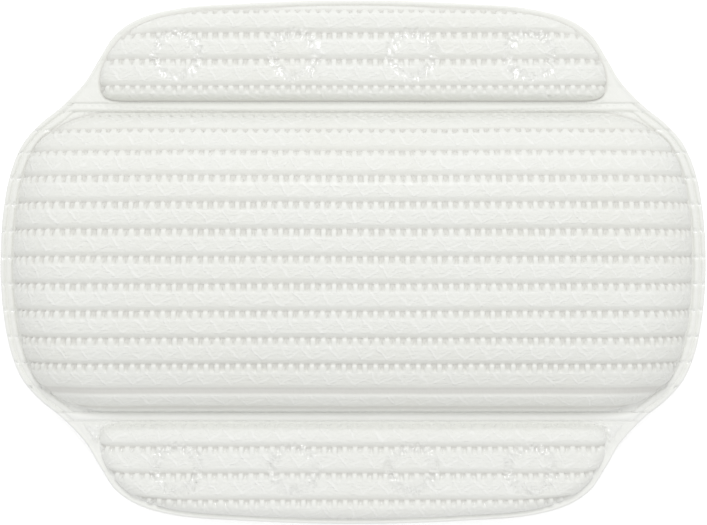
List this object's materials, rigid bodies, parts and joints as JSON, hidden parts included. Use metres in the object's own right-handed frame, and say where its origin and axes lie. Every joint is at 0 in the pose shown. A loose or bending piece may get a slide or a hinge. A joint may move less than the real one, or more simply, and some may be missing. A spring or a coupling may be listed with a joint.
{
  "type": "bath pillow",
  "caption": "Bath pillow: a crowned, ribbed neck cushion between two thin padded flaps that fold along soft webs, with suction cups behind the flaps.",
  "frame": {"origin": "centre of the pillow, on the plane of the suction cups' rims", "axes": "+X along the pillow's width, to the right as seen from its face; +Y from the lower flap to the upper flap; +Z out of its ribbed face"},
  "size_m": [0.33, 0.245, 0.0401],
  "materials": {
    "vinyl": "embossed foam PVC sheet, off-white, semi-gloss",
    "film": "plain soft PVC film, off-white, finely grained",
    "foam": "open-cell polyurethane foam, cream",
    "cup": "clear soft PVC, glossy"
  },
  "bodies": {
    "cushion": {"middle_front_cover": "vinyl", "middle_foam_core": "foam", "middle_back_film": "film", "upper_fold_web": "vinyl", "lower_fold_web": "vinyl"},
    "upper_flap": {"upper_front_cover": "vinyl", "upper_foam_core": "foam", "upper_back_film": "film", "upper_suction_cup_1": "cup", "upper_suction_cup_2": "cup", "upper_suction_cup_3": "cup", "upper_suction_cup_4": "cup"},
    "lower_flap": {"lower_front_cover": "vinyl", "lower_foam_core": "foam", "lower_back_film": "film", "lower_suction_cup_1": "cup", "lower_suction_cup_2": "cup", "lower_suction_cup_3": "cup", "lower_suction_cup_4": "cup"}
  },
  "joints": [
    {"name": "upper_flap_fold", "type": "hinge", "parent": "cushion", "child": "upper_flap", "pos_m": [0, 0.07225, 0.0119], "axis": [1, 0, 0], "range_deg": [-105, 40], "stiffness_Nm_per_rad": 0.2, "deforming": ["upper_fold_web"]},
    {"name": "lower_flap_fold", "type": "hinge", "parent": "cushion", "child": "lower_flap", "pos_m": [0, -0.07225, 0.0119], "axis": [-1, 0, 0], "range_deg": [-105, 40], "stiffness_Nm_per_rad": 0.2, "deforming": ["lower_fold_web"]}
  ]
}
